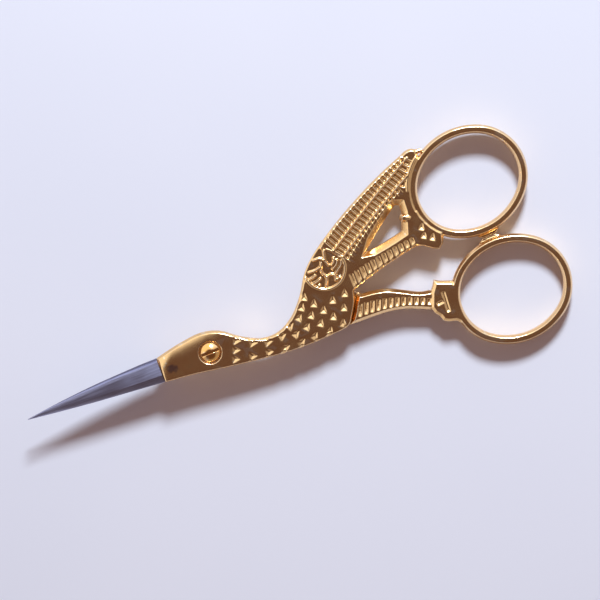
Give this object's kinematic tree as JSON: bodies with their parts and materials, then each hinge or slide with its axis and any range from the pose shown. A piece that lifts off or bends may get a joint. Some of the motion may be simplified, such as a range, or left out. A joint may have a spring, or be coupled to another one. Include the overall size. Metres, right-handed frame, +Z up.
{
  "type": "embroidery scissors",
  "caption": "Small sewing scissors in the shape of a stork: gold-plated forged halves with oval finger rings and a steel beak as the blades, opening on a slotted pivot screw.",
  "frame": {"origin": "on the axis of the pivot screw, in the plane that the scissors lie on (the flat end of the screw)", "axes": "+X from the point of the blades to the finger rings, +Y to the ring on the wing's side, +Z up along the screw towards its slotted head"},
  "size_m": [0.116, 0.0467, 0.0044],
  "materials": {
    "blade_steel": "ground and lightly polished",
    "gold_plate": "worn satin gold plating on forged steel",
    "screw_gold": "polished gold plating"
  },
  "bodies": {
    "back_half": {"back_blade": "blade_steel", "back_handle": "gold_plate", "pivot_screw": "screw_gold"},
    "front_half": {"front_blade": "blade_steel", "front_handle": "gold_plate"}
  },
  "joints": [
    {"name": "pivot", "type": "hinge", "parent": "back_half", "child": "front_half", "pos_m": [0, 0, 0], "axis": [0, 0, 1], "range_deg": [0, 60]}
  ]
}
